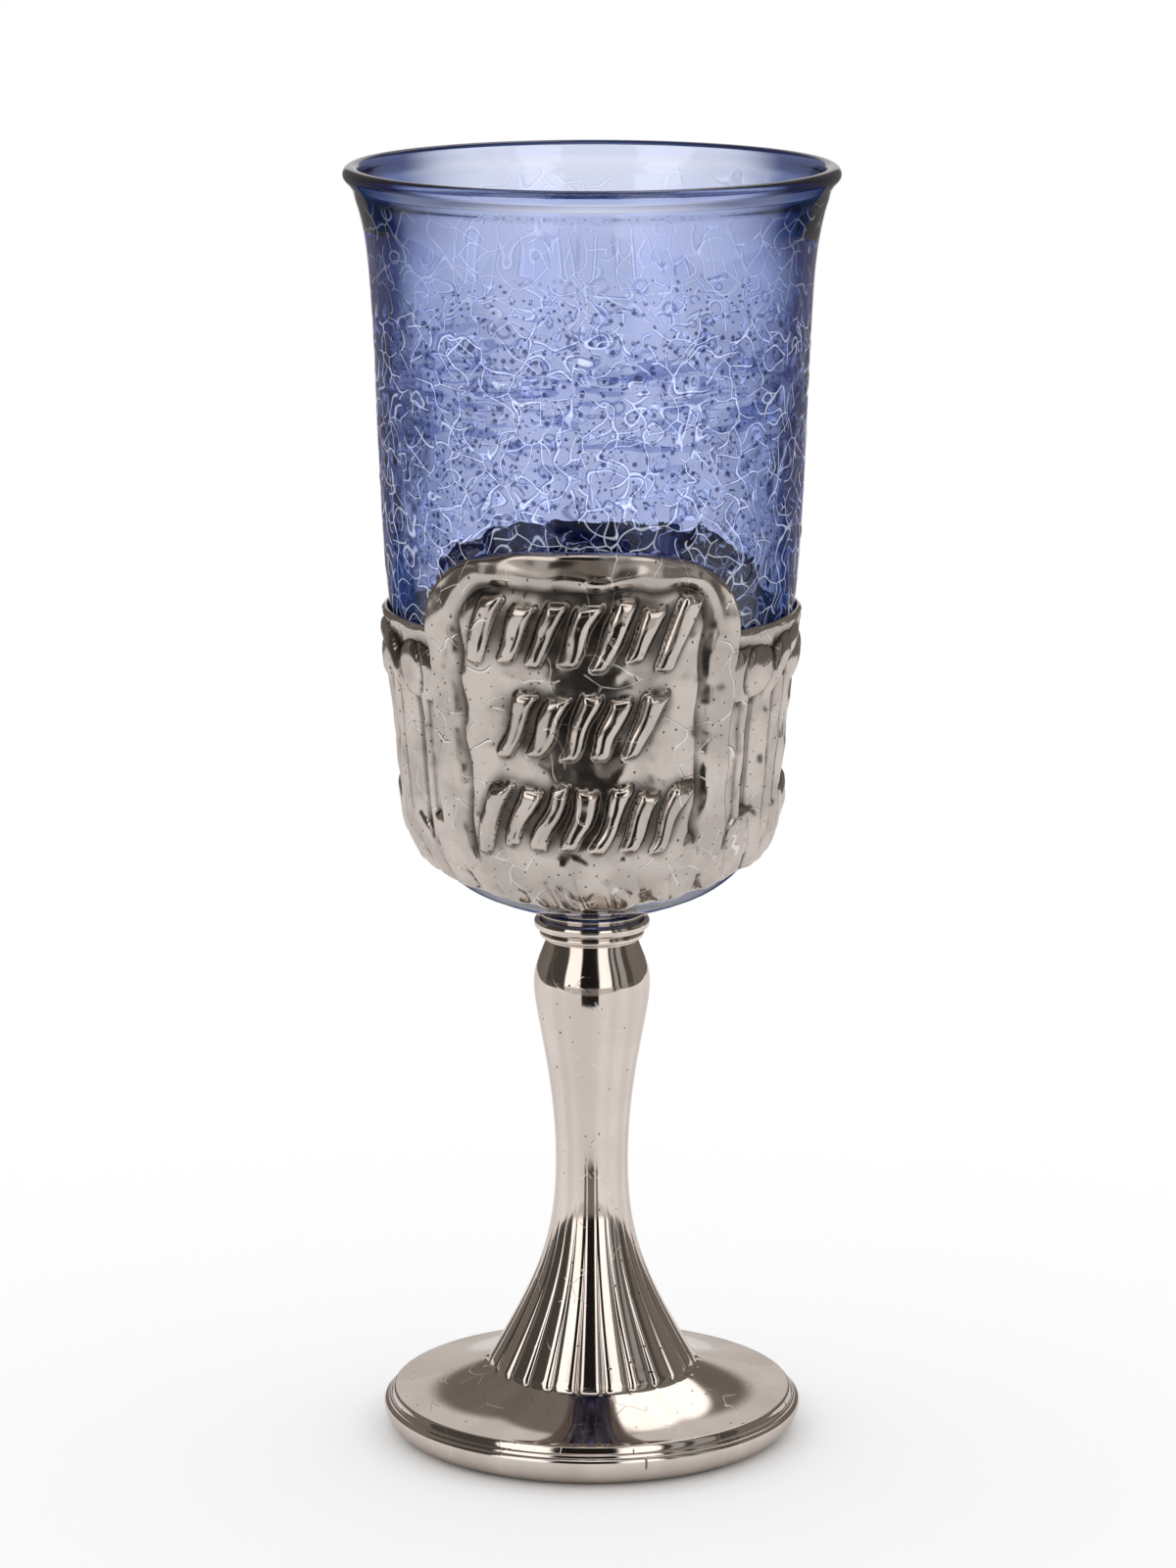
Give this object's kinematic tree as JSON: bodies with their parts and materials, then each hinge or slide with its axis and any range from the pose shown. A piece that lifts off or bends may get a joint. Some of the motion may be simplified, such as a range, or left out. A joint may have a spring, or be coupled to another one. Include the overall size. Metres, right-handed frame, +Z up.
{
  "type": "stemmed kiddush cup",
  "caption": "Stemmed wine cup: a crackled blue glass beaker held in a polished relief sleeve with an arched tablet, on a fluted baluster stem and a round foot.",
  "frame": {"origin": "centre of the foot's flat underside", "axes": "+Z up through the stem to the mouth; the sleeve's tablet faces -Y"},
  "size_m": [0.0698, 0.07, 0.1847],
  "materials": {
    "blue_glass": "clear cobalt-tinted blown glass, crackled and bubbled",
    "silver_plate": "polished silver plate with fine pits and hairlines"
  },
  "bodies": {
    "root": {"glass_cup": "blue_glass", "silver_sleeve": "silver_plate", "stem_and_foot": "silver_plate"}
  },
  "joints": []
}
